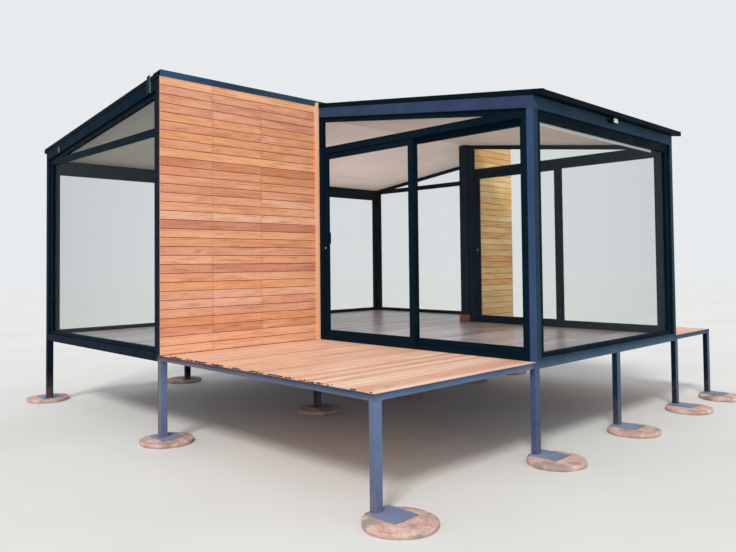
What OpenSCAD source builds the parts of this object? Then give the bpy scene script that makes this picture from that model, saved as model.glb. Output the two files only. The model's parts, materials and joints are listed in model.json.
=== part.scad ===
// Raised cabin with two glazed bays, board-clad wall wings and a deck at each side.
// X runs along the ridge, Y across it, Z up. All sizes are in millimetres.

/* [Plan] */
// Width of the front bay, from its eave wall to the wall wings
front_span = 3210; // [2600:10:4000]
// Width of the back bay, from the wall wings to its eave wall
back_span = 3300; // [2600:10:4000]
// Length of the front bay, from door wall to door wall
bay_length = 3270; // [2600:10:4200]
// Length of the near wall wing and its deck
near_wing = 2190; // [1200:10:3000]
// Length of the far wall wing and its deck
far_wing = 1130; // [800:10:3000]

/* [Ground] */
// Height of the deck surface above the underside of the leg plates
leg_drop = 870; // [300:10:1500]
// Thickness of the round footing pads
pad_h = 60; // [40:5:150]
// Diameter of the round footing pads
pad_d = 600; // [400:10:700]
// Distance from the middle of a plate to the middle of its pad, away from the building
pad_shift = 80; // [0:5:120]
// Width of the leg plates, along the ridge
plate_w = 250; // [150:10:300]
// Length of the leg plates, across the ridge
plate_l = 300; // [150:10:350]
// Thickness of the leg plates
plate_t = 8; // [6:1:16]
// Distance from a leg to the nearer side edge of its plate
plate_edge = 40; // [15:5:60]
// Distance from a leg to the edge of its plate under the building
plate_back = 10; // [5:5:60]
// Width of the legs, along the ridge
leg_w = 80; // [60:5:100]
// Depth of the legs, across the ridge
leg_d = 60; // [50:5:100]
// Distance from the near door wall to the middle leg of the front bay
middle_leg_x = 1665; // [1200:5:2200]

/* [Frame] */
// Width of the square corner posts
post_w = 80; // [60:5:120]
// Depth of the bay posts beside the doors at the ridge, across it
bay_post_d = 60; // [50:5:100]
// Width of the square ridge posts
ridge_post_w = 130; // [80:5:150]
// Depth of the roof beams
beam_h = 125; // [80:5:200]
// Depth of the ridge beam, which stops above the ceilings
ridge_beam_h = 100; // [60:5:110]
// Depth of the purlins
purlin_h = 100; // [60:5:110]
// Depth of the floor beams under the glass walls
floor_beam_h = 95; // [60:5:150]
// Height of the floor beams above the deck surface under the glass walls
kerb_h = 30; // [10:5:60]
// Depth of the steel edge round the decks
deck_edge_h = 53; // [40:1:60]
// Thickness of the steel edge round the decks
deck_edge_t = 5; // [3:1:8]
// Width of the joists and purlins
joist_w = 50; // [40:5:75]

/* [Roof] */
// Top of the steel frame at the front eave
front_eave_z = 2565; // [2200:5:2900]
// Top of the steel frame at the ridge, front bay
front_ridge_z = 2978; // [2600:1:3300]
// Top of the steel frame at the ridge, back bay
back_ridge_z = 2995; // [2600:5:3300]
// Top of the steel frame at the back eave
back_eave_z = 2575; // [2200:5:2900]
// Thickness of the flat part of the roof panels
roof_t = 32; // [20:1:80]
// Height of the ribs on the roof panels
rib_h = 16; // [10:1:40]
// Distance from rib to rib
rib_pitch = 250; // [150:5:400]
// Width of a rib at its foot
rib_foot = 70; // [40:5:100]
// Width of a rib at its top
rib_top = 36; // [20:2:60]
// Projection of the roof beyond the front eave wall
front_eave_out = 110; // [40:5:200]
// Projection of the roof beyond the back eave wall
back_eave_out = 60; // [40:5:200]
// Thickness of folded flashings
flashing_t = 4; // [2:1:8]
// Width of the flashing on top of the roof's side edges
barge_w = 60; // [30:5:120]
// Width of the ridge flashing on each slope
ridge_lap = 160; // [80:5:250]
// Thickness of the ceiling boards
ceiling_t = 12; // [6:1:12]

/* [Walls] */
// Height of the board cladding above the deck
cladding_h = 3000; // [2400:10:3300]
// Thickness of the board cladding
board_t = 20; // [12:1:30]
// Depth of the studwork behind the cladding
core_t = 75; // [50:5:120]
// Thickness of the inner lining
lining_t = 12; // [6:1:20]
// Width of the corner trim
trim_w = 64; // [50:2:100]
// Part of the corner trim that laps over the ridge post
trim_lap = 28; // [10:1:40]
// Projection of the corner trim from the cladding
trim_out = 45; // [5:5:60]
// Rise of the corner trim above the cladding, in front of the ridge flashing
trim_rise = 36; // [0:2:50]
// Thickness of the floor panel
floor_t = 35; // [20:1:60]
// Height of the inside floor above the deck surface
floor_z = 20; // [0:5:30]
// Thickness of the deck boards
deck_board_t = 22; // [18:1:30]

/* [Doors] */
// Distance from the outer face of the posts to the door frame
door_set_back = 5; // [0:1:20]
// Face width of the door jambs
jamb_w = 40; // [30:5:70]
// Top of the door head above the deck surface
head_z = 2430; // [2200:5:2500]
// Height of the door head
head_h = 50; // [40:5:120]
// Height of the door sill
sill_h = 28; // [20:1:50]
// Width of the upstands that hold the panels on their tracks
lip_w = 6; // [4:1:10]
// Height of those upstands
lip_h = 16; // [10:1:25]
// Thickness of a door panel
panel_t = 40; // [30:1:50]
// Space left beside a moving panel
side_gap = 5; // [5:1:10]
// Space left below, above and at the end of a moving panel
run_gap = 6; // [5:1:10]
// Face width of the door panel stiles
stile_w = 76; // [60:1:120]
// Height of the door panel bottom rail
bottom_rail_h = 92; // [60:1:160]
// Height of the door panel top rail
top_rail_h = 80; // [60:5:120]
// Height of the underside of the door handle
handle_z = 1220; // [900:10:1300]
// Length of the door handle
handle_h = 140; // [120:10:400]

/* [Windows] */
// Thickness of the glass
glass_t = 8; // [6:1:24]
// Depth of the groove that holds the glass
groove = 12; // [8:1:16]
// Distance from the outer face of the posts to the window frames
frame_set_back = 25; // [0:1:30]
// Depth of the fixed window frames, front to back
frame_d = 50; // [40:5:80]
// Face width of the upright window frames
frame_w = 80; // [40:5:90]
// Height of the window sills
window_sill_h = 45; // [30:5:80]
// Length of the rail under that window's head, inside
head_rail_length = 2650; // [500:10:3000]
// Height of that rail
head_rail_h = 28; // [16:2:60]
// Underside of the window head in the front eave wall
front_head_z = 2340; // [2000:5:2400]
// Underside of the window head in the back eave wall
back_head_z = 2260; // [2000:5:2400]
// Depth of the frame over the transom panes
transom_edge = 58; // [40:2:90]
// Depth of the frame over the gable panes
gable_edge = 55; // [40:5:120]
// Underside of the level bar in the gable windows
gable_bar_z = 2380; // [2000:5:2400]
// Height of the level bar in the gable windows
gable_bar_h = 78; // [50:2:100]
// Position of the upright in the back window, from the near door wall
back_mullion_x = 1050; // [500:10:2500]
// Position of the floodlight, from the near door wall
lamp_x = 1560; // [300:10:2900]

/* [Hidden] */
$fn = 32;

// Space left between sloping faces that rest on each other
seat = 0.3;
// Extra length of a cutting tool past the face it cuts
over = 1;
// Clearance between the floor and what it fits round
floor_gap = 1;
// Glass stops this far from the bottom of its groove
glass_gap = 2;

// The roof panels stop short of each other at the ridge, and of the flashing at the eaves
ridge_gap = 6;
eave_gap = 16;
// Drop of the eave soffit, and of the notch in the corner trim, below the top of the frame
soffit_drop = 5;
notch_drop = 14;

// Joists and purlins from one beam to the next
front_joists = 5;
back_joists = 11;
near_deck_joists = 4;
far_deck_joists = 2;
purlins_a_side = 3;

// Door handle: radius of the bar and its feet, reach, and place of the feet from its ends
handle_r = 8;
handle_foot_r = 6;
handle_out = 45;
handle_foot_in = 20;

// Lock plate under the handle, outside: width, thickness, and ends below and above the handle's foot
lock_w = 26;
lock_t = 3;
lock_low = 110;
lock_high = 50;

// Fin on the fixed panel's meeting stile: thickness, and distance from its ends to the tracks
fin_t = 8;
fin_gap = 4;

// Face of the transom frame beside and below its pane
transom_side = 30;
transom_sill = 22;

// Floodlight head: width, depth, height, distance from the beam, and height above the beam's foot
lamp_w = 108;
lamp_d = 56;
lamp_h = 58;
lamp_out = 24;
lamp_rise = 44;
// Stem of the floodlight: width, height, and height above the underside of the head
stem_w = 24;
stem_h = 14;
stem_rise = 22;

// Rail inside the front window: depth, and how far it laps over the window head
rail_d = 16;
rail_lap = 2;

// Lines of the plan, measured from the outer corner of the near front post
x_near = -near_wing;
x_far = bay_length;
x_end = bay_length + far_wing;
y_ridge = front_span;
y_back = front_span + back_span;
y_bay_post = y_ridge - bay_post_d;
y_core = y_ridge + board_t;
y_lining = y_core + core_t;
y_ceilings_meet = y_core + core_t / 2;
plan_middle = [(x_near + x_end) / 2, y_back / 2, -(leg_drop + pad_h)];

// Heights in the floor
floor_beam_low = kerb_h - floor_beam_h;
under_floor = floor_z - floor_t;

// Roof slopes as rise over run
front_slope = (front_ridge_z - front_eave_z) / front_span;
back_slope = (back_ridge_z - back_eave_z) / back_span;
ridge_low = front_ridge_z - ridge_beam_h;
sheet_h = roof_t + rib_h;

// Lengths of the roof panels on plan, and heights of the side and ridge flashings above the frame
front_run = front_span + front_eave_out - ridge_gap - eave_gap;
back_run = y_back - y_core + back_eave_out - ridge_gap - eave_gap;
barge_top = sheet_h + 2;
lap_foot = barge_top + flashing_t + 1;
front_lap = lap_foot + 2;
back_lap = lap_foot + 12;

// Clear width and height between the jambs, sill and head of a door frame
door_y0 = post_w + jamb_w;
door_y1 = y_bay_post - jamb_w;
door_top = head_z - head_h;
panel_w = (door_y1 - door_y0 + stile_w) / 2;
fixed_h = door_top - sill_h;
slide_h = fixed_h - 2 * run_gap;

// The sliding panel runs on the outer track, and the fixed one stands on the inner track
outer_track = door_set_back + lip_w + side_gap;
middle_lip = outer_track + panel_t + side_gap;
inner_track = middle_lip + lip_w;
door_in = inner_track + panel_t + lip_w;

// Gable windows stand between the corner posts
gable_y0 = y_core + post_w;
gable_y1 = y_back - post_w;

// Panes of the eave walls as [near side, far side, top], between their frames
front_panes = [[post_w + frame_w, x_far - post_w - frame_w, front_head_z]];
back_panes = [[x_near + post_w + frame_w, back_mullion_x - frame_w / 2, back_head_z],
    [back_mullion_x + frame_w / 2, x_end - post_w - frame_w, back_head_z]];
back_frame_y = y_back - frame_set_back - frame_d;

// Colours
steel = [0.24, 0.27, 0.35];
dark_steel = [0.10, 0.13, 0.17];
frame_colour = [0.07, 0.09, 0.13];
timber = [0.80, 0.56, 0.38];
pale_board = [0.80, 0.75, 0.68];
concrete = [0.62, 0.58, 0.53];
white = [0.90, 0.92, 0.92];
clear = [0.75, 0.85, 0.88, 0.35];

// Top of the steel frame over a line across the ridge, and the underside of its beams
function front_z(y) = front_eave_z + front_slope * y;
function back_z(y) = back_ridge_z - back_slope * (y - y_ridge);
function front_low(y) = front_z(y) - beam_h;
function back_low(y) = back_z(y) - beam_h;

// Puts the plan in the middle of the part's frame, with the pads on the ground
module place() {
    translate(-plan_middle) children();
}

// A box given by its lowest and highest corner
module block(low, high) {
    translate(low) cube(high - low);
}

// A shape drawn across the ridge (Y, Z) and given a length along X
module across(x, length, points) {
    translate([x, 0, 0]) rotate([90, 0, 90]) linear_extrude(length) polygon(points);
}

// A bar that follows the front or the back roof slope, between two lines across the ridge
module front_bar(x, length, y0, y1, down, h) {
    across(x, length, [[y0, front_z(y0) - down - h], [y1, front_z(y1) - down - h],
        [y1, front_z(y1) - down], [y0, front_z(y0) - down]]);
}

module back_bar(x, length, y0, y1, down, h) {
    across(x, length, [[y0, back_z(y0) - down - h], [y1, back_z(y1) - down - h],
        [y1, back_z(y1) - down], [y0, back_z(y0) - down]]);
}

// Mirrors the near door wall to the far door wall
module far_side() {
    translate([bay_length, 0, 0]) mirror([1, 0, 0]) children();
}

// Each leg's axis, and the way its plate reaches out from it as [x, y]
leg_columns = [x_near + leg_w / 2, 0, middle_leg_x, x_far, x_end - leg_w / 2];
leg_rows = [leg_d / 2, y_ridge + leg_d / 2, y_back - leg_d / 2];
leg_places = [for (i = [0:4], j = [0:2])
    [leg_columns[i], leg_rows[j], [1, 1, 0, -1, -1][i], [-1, 0, 1][j]]];

// The leg stands near one corner of its plate
plate_shift = [(plate_w - leg_w) / 2 - plate_edge, (plate_l - leg_d) / 2 - plate_back];

// Puts something under each leg, with its middle a distance in front of the plate's middle
module at_plates(out) {
    for (leg = leg_places)
        translate([leg[0] + leg[2] * plate_shift[0], leg[1] + leg[3] * (plate_shift[1] + out), -leg_drop])
            children();
}

module footing_pads() {
    color(concrete) place() at_plates(pad_shift) translate([0, 0, -pad_h]) cylinder(d = pad_d, h = pad_h);
}

module base_plates() {
    color(steel) place() at_plates(0)
        translate([-plate_w / 2, -plate_l / 2, 0]) cube([plate_w, plate_l, plate_t]);
}

// Legs end under the floor beams, and under the deck edges where these are shallower
module legs() {
    deck_ends = [[x_near, x_near + leg_w], [-leg_w / 2, 0], [x_far, x_far + leg_w / 2],
        [x_end - leg_w, x_end]];
    color(steel) place() {
        for (leg = leg_places) translate([leg[0], leg[1], 0])
            block([-leg_w / 2, -leg_d / 2, plate_t - leg_drop], [leg_w / 2, leg_d / 2, floor_beam_low]);
        for (x = deck_ends) block([x[0], 0, floor_beam_low - over], [x[1], leg_d, -deck_edge_h]);
    }
}

module floor_beams_long() {
    color(steel) place() {
        block([0, 0, floor_beam_low], [x_far, post_w, kerb_h]);
        block([x_near, y_ridge, floor_beam_low], [x_end, y_core + core_t, under_floor]);
        block([x_near, y_back - post_w, floor_beam_low], [x_end, y_back, kerb_h]);
    }
}

module floor_beams_cross() {
    color(steel) place() {
        for (x = [0, x_far - post_w])
            block([x, post_w, floor_beam_low], [x + post_w, y_ridge, 0]);
        for (x = [x_near, x_end - post_w]) {
            block([x, y_lining, floor_beam_low], [x + post_w, y_back - post_w, under_floor]);
            block([x, y_core + post_w, under_floor - over], [x + post_w, y_back - post_w, kerb_h]);
        }
    }
}

module floor_joists() {
    front_step = (bay_length - 2 * post_w - joist_w) / (front_joists + 1);
    back_step = (x_end - x_near - 2 * post_w - joist_w) / (back_joists + 1);
    color(steel) place() {
        for (i = [1:front_joists]) translate([post_w + i * front_step, 0, 0])
            block([0, post_w, floor_beam_low], [joist_w, y_ridge, under_floor]);
        for (i = [1:back_joists]) translate([x_near + post_w + i * back_step, 0, 0])
            block([0, y_lining, floor_beam_low], [joist_w, y_back - post_w, under_floor]);
    }
}

module deck_joists() {
    color(steel) place() {
        for (i = [1:near_deck_joists]) translate([x_near + i * near_wing / (near_deck_joists + 1), 0, 0])
            block([0, deck_edge_t, -deck_edge_h], [joist_w, y_ridge, -deck_board_t]);
        for (i = [1:far_deck_joists]) translate([x_end - i * far_wing / (far_deck_joists + 1), 0, 0])
            block([0, deck_edge_t, -deck_edge_h], [joist_w, y_ridge, -deck_board_t]);
    }
}

module deck_edge(x, length) {
    difference() {
        block([x, 0, -deck_edge_h], [x + length, y_ridge, 0]);
        block([x + deck_edge_t, deck_edge_t, -deck_edge_h - over],
            [x + length + over, y_ridge + over, over]);
    }
}

module deck_edge_frames() {
    color(steel) place() {
        deck_edge(x_near, near_wing);
        translate([x_end, 0, 0]) mirror([1, 0, 0]) deck_edge(0, far_wing);
    }
}

module posts() {
    color(steel) place() {
        for (x = [0, x_far - post_w]) {
            across(x, post_w, [[0, kerb_h], [post_w, kerb_h],
                [post_w, front_low(post_w) - seat], [0, front_low(0) - seat]]);
            across(x, post_w, [[y_bay_post, 0], [y_ridge, 0],
                [y_ridge, front_low(y_ridge) - seat], [y_bay_post, front_low(y_bay_post) - seat]]);
        }
        for (x = [x_near, x_end - post_w]) {
            across(x, post_w, [[y_core, under_floor], [y_core + post_w, under_floor],
                [y_core + post_w, back_low(y_core + post_w) - seat], [y_lining, back_low(y_lining) - seat],
                [y_lining, ridge_low], [y_core, ridge_low]]);
            across(x, post_w, [[y_back - post_w, kerb_h], [y_back, kerb_h],
                [y_back, back_low(y_back) - seat], [y_back - post_w, back_low(y_back - post_w) - seat]]);
        }
        ridge_post();
        far_side() ridge_post();
    }
}

// The ridge post fills the corner behind the trim, beside the bay post
module ridge_post() {
    block([0, y_core, under_floor], [ridge_post_w, y_core + ridge_post_w, ridge_low]);
    block([trim_lap, y_ridge, 0], [ridge_post_w, y_core + over, front_low(y_ridge) - seat]);
}

module ridge_beam() {
    color(steel) place() block([x_near, y_core, ridge_low], [x_end, y_lining, front_ridge_z]);
}

module rake_beams() {
    color(steel) place() {
        for (x = [0, x_far - post_w]) front_bar(x, post_w, 0, y_ridge, 0, beam_h);
        for (x = [x_near, x_end - post_w]) back_bar(x, post_w, y_lining, y_back, 0, beam_h);
    }
}

module eave_beams() {
    color(steel) place() {
        front_bar(post_w, x_far - 2 * post_w, 0, post_w, 0, beam_h);
        back_bar(x_near + post_w, x_end - x_near - 2 * post_w, y_back - post_w, y_back, 0, beam_h);
    }
}

module purlins() {
    front_step = (y_ridge - post_w - joist_w) / (purlins_a_side + 1);
    back_step = (y_back - post_w - y_lining - joist_w) / (purlins_a_side + 1);
    color(steel) place() for (i = [1:purlins_a_side]) {
        y = post_w + i * front_step;
        front_bar(post_w, x_far - 2 * post_w, y, y + joist_w, 0, purlin_h);
        y_b = y_lining + i * back_step;
        back_bar(x_near + post_w, x_end - x_near - 2 * post_w, y_b, y_b + joist_w, 0, purlin_h);
    }
}

// Ribbed top face of a roof panel, as points from one side to the other
function ribs(length) = [for (i = [0:floor(length / rib_pitch) - 1])
    let (x = (i + 0.5) * length / floor(length / rib_pitch))
    each [[x - rib_foot / 2, roof_t], [x - rib_top / 2, sheet_h], [x + rib_top / 2, sheet_h],
        [x + rib_foot / 2, roof_t]]];

// Turns what is drawn as a cross-section in X and Z so that it runs down the slope towards -Y
module down_slope(run, slope) {
    translate([0, 0, seat]) rotate([90 + atan(slope), 0, 0]) linear_extrude(run / cos(atan(slope)))
        children();
}

module at_front_slope() {
    translate([0, y_ridge - ridge_gap, front_z(y_ridge - ridge_gap)]) children();
}

module at_back_slope() {
    translate([x_end, y_core + ridge_gap, back_z(y_core + ridge_gap)]) rotate([0, 0, 180]) children();
}

module roof_section(length) {
    polygon(concat([[0, 0], [0, roof_t]], ribs(length), [[length, roof_t], [length, 0]]));
}

module front_roof_panel() {
    color(dark_steel) place() at_front_slope() down_slope(front_run, front_slope) roof_section(bay_length);
}

module back_roof_panel() {
    color(dark_steel) place() at_back_slope() down_slope(back_run, back_slope)
        roof_section(x_end - x_near);
}

// Outline of the ridge flashing over the back slope, down to the lip on its back edge
function back_lap_points(y0) = let (y2 = y_ridge + ridge_lap, y1 = y2 - flashing_t)
    [[y_ridge, back_z(y_ridge) + back_lap], [y1, back_z(y1) + back_lap], [y1, back_z(y1) + lap_foot],
        [y2, back_z(y2) + lap_foot], [y2, back_z(y2) + back_lap + flashing_t],
        [y0, back_z(y0) + back_lap + flashing_t]];

// The ridge flashing caps the cladding on the wings, and laps over both slopes on the bay
module wing_flashing(x, length) {
    y0 = y_ridge - flashing_t;
    foot_z = cladding_h - flashing_t;
    across(x, length, concat([[y0, foot_z], [y_ridge, foot_z]], back_lap_points(y0)));
}

module bay_flashing(x, length) {
    y0 = y_ridge - ridge_lap;
    y1 = y_ridge - flashing_t;
    across(x, length, concat([[y0, front_z(y0) + front_lap], [y_ridge, front_z(y_ridge) + front_lap]],
        back_lap_points(y1),
        [[y1, front_z(y1) + front_lap + flashing_t], [y0, front_z(y0) + front_lap + flashing_t]]));
}

module ridge_flashing() {
    color(dark_steel) place() {
        wing_flashing(x_near, near_wing - over);
        bay_flashing(0, bay_length);
        wing_flashing(x_far + over, far_wing - over);
    }
}

// Cross-section of the flashing over the side edge of a roof panel
module barge_section() {
    polygon([[-flashing_t, 0], [-1, 0], [-1, barge_top], [barge_w, barge_top],
        [barge_w, barge_top + flashing_t], [-flashing_t, barge_top + flashing_t]]);
}

// Soffit and lip round the eave edge of a roof panel, drawn for an eave that faces -Y at y = 0
module eave_edge(length, z, slope, out) {
    soffit_z = z - soffit_drop;
    lip_z = z - slope * out;
    across(1, length - 2, [[-1, soffit_z], [-1, soffit_z + flashing_t],
        [-out, lip_z - soffit_drop + flashing_t], [-out, lip_z + barge_top],
        [-out - flashing_t, lip_z + barge_top], [-out - flashing_t, lip_z - soffit_drop]]);
}

module roof_edge_flashings() {
    color(dark_steel) place() {
        at_front_slope() down_slope(front_run, front_slope) {
            barge_section();
            translate([bay_length, 0]) mirror([1, 0]) barge_section();
        }
        at_back_slope() down_slope(back_run, back_slope) {
            barge_section();
            translate([x_end - x_near, 0]) mirror([1, 0]) barge_section();
        }
        eave_edge(bay_length, front_eave_z, front_slope, front_eave_out);
        translate([x_end, y_back, 0]) rotate([0, 0, 180])
            eave_edge(x_end - x_near, back_eave_z, back_slope, back_eave_out);
    }
}

// A strap that ties the side flashing to the rake beam near the ridge, and a short one on the beam
module splice_plate_pair() {
    plate_out = 12;
    strap_w = 70;
    strap_h = 120;
    strap_y = y_ridge + 210;
    back_bar(-plate_out, plate_out, strap_y, strap_y + strap_w, 1, strap_h);
    tongue_t = 6;
    tongue_h = 80;
    back_bar(-plate_out, tongue_t, strap_y, strap_y + strap_w, 2 - tongue_h, tongue_h);
    short_w = 40;
    short_h = 84;
    short_down = 40;
    short_y = y_back - 470;
    back_bar(-plate_out, plate_out, short_y, short_y + short_w, short_down, short_h);
}

module splice_plates() {
    color(steel) place() {
        translate([x_near, 0, 0]) splice_plate_pair();
        translate([x_end, 0, 0]) mirror([1, 0, 0]) splice_plate_pair();
    }
}

// The ceilings lie flush with the underside of the beams and meet under the ridge beam
module front_ceiling() {
    color(pale_board) place() difference() {
        front_bar(post_w, x_far - 2 * post_w, post_w, y_ceilings_meet - seat, beam_h - ceiling_t, ceiling_t);
        ceiling_notch(0, ridge_post_w);
        ceiling_notch(x_far - ridge_post_w, x_far);
    }
}

module ceiling_notch(x0, x1) {
    block([x0 - over, y_ridge - over, head_z], [x1 + over, y_core + ridge_post_w + over, front_ridge_z]);
}

module back_ceiling() {
    color(pale_board) place() difference() {
        back_bar(x_near + post_w, x_end - x_near - 2 * post_w, y_ceilings_meet + seat, y_back - post_w,
            beam_h - ceiling_t, ceiling_t);
        ceiling_notch(0, ridge_post_w);
        ceiling_notch(x_far - ridge_post_w, x_far);
        for (x = [[x_near, 0], [x_far, x_end]])
            block([x[0], y_core, head_z], [x[1], y_lining + lining_t + over, front_ridge_z]);
        for (x = [x_near, x_end - post_w])
            block([x - over, y_core, head_z], [x + post_w + over, y_core + post_w + over, front_ridge_z]);
    }
}

// The floor fits between the door frames and round the ridge posts
module floor_panel() {
    x0 = door_in + floor_gap;
    x1 = x_far - x0;
    x_post = ridge_post_w + floor_gap;
    y_post = [y_ridge - floor_gap, y_core + ridge_post_w + floor_gap];
    color(pale_board) place() translate([0, 0, under_floor]) linear_extrude(floor_t)
        polygon([[x0, post_w], [x1, post_w], [x1, y_post[0]], [x_far - x_post, y_post[0]],
            [x_far - x_post, y_post[1]], [x_far + floor_gap, y_post[1]], [x_far + floor_gap, y_lining],
            [x_end - post_w, y_lining], [x_end - post_w, y_back - post_w],
            [x_near + post_w, y_back - post_w], [x_near + post_w, y_lining], [-floor_gap, y_lining],
            [-floor_gap, y_post[1]], [x_post, y_post[1]], [x_post, y_post[0]], [x0, y_post[0]]]);
}

module front_deck() {
    color(timber) place()
        block([x_near + deck_edge_t, deck_edge_t, -deck_board_t], [0, y_ridge, 0]);
}

module back_deck() {
    color(timber) place()
        block([x_far, deck_edge_t, -deck_board_t], [x_end - deck_edge_t, y_ridge, 0]);
}

module wall_cores() {
    color(pale_board) place() {
        block([x_near + post_w, y_core, under_floor], [0, y_lining, ridge_low]);
        block([x_far, y_core, under_floor], [x_end - post_w, y_lining, ridge_low]);
    }
}

module wall_cladding() {
    color(timber) place() {
        block([x_near, y_ridge, 0], [trim_lap - trim_w, y_core, cladding_h]);
        block([x_far + trim_w - trim_lap, y_ridge, 0], [x_end, y_core, cladding_h]);
    }
}

module wall_linings() {
    y1 = y_lining + lining_t;
    top = back_low(y1) + ceiling_t;
    color(pale_board) place() {
        block([x_near + post_w, y_lining, floor_z], [0, y1, top]);
        block([x_far, y_lining, floor_z], [x_end - post_w, y1, top]);
    }
}

// Batten in the corner between the cladding and the doors, notched round the roof's side flashing
module cladding_trim() {
    x = trim_lap - trim_w;
    front = y_ridge - trim_out;
    top = cladding_h + trim_rise;
    difference() {
        union() {
            block([x, front, 0], [0, y_core, cladding_h - flashing_t]);
            block([x, front, 0], [0, y_ridge - flashing_t, top]);
        }
        block([-flashing_t - over, front - over, front_z(front) - notch_drop], [over, y_ridge, top + over]);
    }
    block([-over, y_ridge, 0], [trim_lap, y_core, cladding_h]);
}

module cladding_trims() {
    color(timber) place() {
        cladding_trim();
        far_side() cladding_trim();
    }
}

// Door frame with a pocket for each panel, so that upstands stand between them all round
module door_frame() {
    difference() {
        block([door_set_back, post_w, 0], [door_in, y_bay_post, head_z]);
        block([0, door_y0 + lip_h, sill_h + lip_h], [door_in + over, door_y1 - lip_h, door_top - lip_h]);
        block([door_set_back + lip_w, door_y0, sill_h], [middle_lip, door_y1, door_top]);
        block([inner_track, door_y0, sill_h], [inner_track + panel_t, door_y1, door_top]);
    }
}

module front_door_frame() {
    color(frame_colour) place() door_frame();
}

module back_door_frame() {
    color(frame_colour) place() far_side() door_frame();
}

// Frame of one door panel with a groove for its glass, and its lower corner at the origin
module panel_frame(height) {
    difference() {
        cube([panel_t, panel_w, height]);
        block([-over, stile_w, bottom_rail_h], [panel_t + over, panel_w - stile_w, height - top_rail_h]);
        panel_glass(height, groove);
    }
}

// A pane that reaches a distance into the groove of its panel
module panel_glass(height, reach) {
    x = (panel_t - glass_t) / 2;
    block([x, stile_w - reach, bottom_rail_h - reach],
        [x + glass_t, panel_w - stile_w + reach, height - top_rail_h + reach]);
}

module at_fixed() {
    translate([inner_track, door_y0, sill_h]) children();
}

module at_sliding() {
    translate([outer_track, door_y1 - run_gap - panel_w, sill_h + run_gap]) children();
}

// Fixed panel, with a fin on its meeting stile that closes the space beside the sliding one
module fixed_panel() {
    fin_d = inner_track - outer_track - panel_t - side_gap;
    at_fixed() {
        panel_frame(fixed_h);
        translate([-fin_d, panel_w - stile_w / 2, lip_h + fin_gap])
            cube([fin_d + over, fin_t, fixed_h - 2 * (lip_h + fin_gap)]);
    }
}

module fixed_door_panels() {
    color(frame_colour) place() {
        fixed_panel();
        far_side() fixed_panel();
    }
}

module fixed_door_glass() {
    color(clear) place() {
        at_fixed() panel_glass(fixed_h, groove - glass_gap);
        far_side() at_fixed() panel_glass(fixed_h, groove - glass_gap);
    }
}

module front_sliding_panel() {
    color(frame_colour) place() at_sliding() panel_frame(slide_h);
}

module front_sliding_glass() {
    color(clear) place() at_sliding() panel_glass(slide_h, groove - glass_gap);
}

module back_sliding_panel() {
    color(frame_colour) place() far_side() at_sliding() panel_frame(slide_h);
}

module back_sliding_glass() {
    color(clear) place() far_side() at_sliding() panel_glass(slide_h, groove - glass_gap);
}

// D handle on the inner face and a lock plate in the outer face
module door_handle() {
    y = door_y1 - run_gap - stile_w / 2;
    x = outer_track + panel_t;
    translate([x + handle_out - handle_r, y, handle_z]) cylinder(r = handle_r, h = handle_h);
    for (z = [handle_z + handle_foot_in, handle_z + handle_h - handle_foot_in])
        translate([x, y, z]) rotate([0, 90, 0]) cylinder(r = handle_foot_r, h = handle_out - handle_r);
    block([outer_track - lock_t, y - lock_w / 2, handle_z - lock_low],
        [outer_track, y + lock_w / 2, handle_z + lock_high]);
}

module front_door_handle() {
    color(frame_colour) place() door_handle();
}

module back_door_handle() {
    color(frame_colour) place() far_side() door_handle();
}

// Line across the ridge where the sloping edge of the transom pane comes down to a height
function transom_shut(z) = (z + transom_edge + beam_h - front_eave_z) / front_slope;

// A transom pane, made larger all round by a distance
module transom_shape(x, depth, grow) {
    y1 = y_bay_post - transom_side + grow;
    low = head_z + transom_sill - grow;
    across(x, depth, [[transom_shut(low - grow), low], [y1, low],
        [y1, front_low(y1) - transom_edge + grow]]);
}

module transom_frame() {
    x = frame_set_back;
    difference() {
        across(x, frame_d, [[post_w, head_z], [y_bay_post, head_z],
            [y_bay_post, front_low(y_bay_post) - seat], [post_w, front_low(post_w) - seat]]);
        transom_shape(x - over, frame_d + 2 * over, 0);
        transom_shape(x + (frame_d - glass_t) / 2, glass_t, groove);
    }
}

module transom_frames() {
    color(frame_colour) place() {
        transom_frame();
        far_side() transom_frame();
    }
}

module transom_glass() {
    x = frame_set_back + (frame_d - glass_t) / 2;
    color(clear) place() {
        transom_shape(x, glass_t, groove - glass_gap);
        far_side() transom_shape(x, glass_t, groove - glass_gap);
    }
}

// Line across the ridge where the sloping edge of the gable panes comes down to a height
function gable_shut(z) = y_ridge + (back_ridge_z - beam_h - gable_edge - z) / back_slope;

// The lower and the upper pane of a gable window, made larger all round by a distance
module gable_lower(x, depth, grow) {
    block([x, gable_y0 + frame_w - grow, kerb_h + window_sill_h - grow],
        [x + depth, gable_y1 - frame_w + grow, gable_bar_z + grow]);
}

module gable_upper(x, depth, grow) {
    y0 = gable_y0 + frame_w - grow;
    low = gable_bar_z + gable_bar_h - grow;
    across(x, depth, [[y0, low], [gable_shut(low - grow), low], [y0, back_low(y0) - gable_edge + grow]]);
}

module gable_frame() {
    x = frame_set_back;
    glass_x = x + (frame_d - glass_t) / 2;
    difference() {
        across(x, frame_d, [[gable_y0, kerb_h], [gable_y1, kerb_h],
            [gable_y1, back_low(gable_y1) - seat], [gable_y0, back_low(gable_y0) - seat]]);
        gable_lower(x - over, frame_d + 2 * over, 0);
        gable_upper(x - over, frame_d + 2 * over, 0);
        gable_lower(glass_x, glass_t, groove);
        gable_upper(glass_x, glass_t, groove);
    }
}

module gable_panes() {
    glass_x = frame_set_back + (frame_d - glass_t) / 2;
    gable_lower(glass_x, glass_t, groove - glass_gap);
    gable_upper(glass_x, glass_t, groove - glass_gap);
}

module at_gables() {
    translate([x_near, 0, 0]) children();
    translate([x_end, 0, 0]) mirror([1, 0, 0]) children();
}

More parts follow.
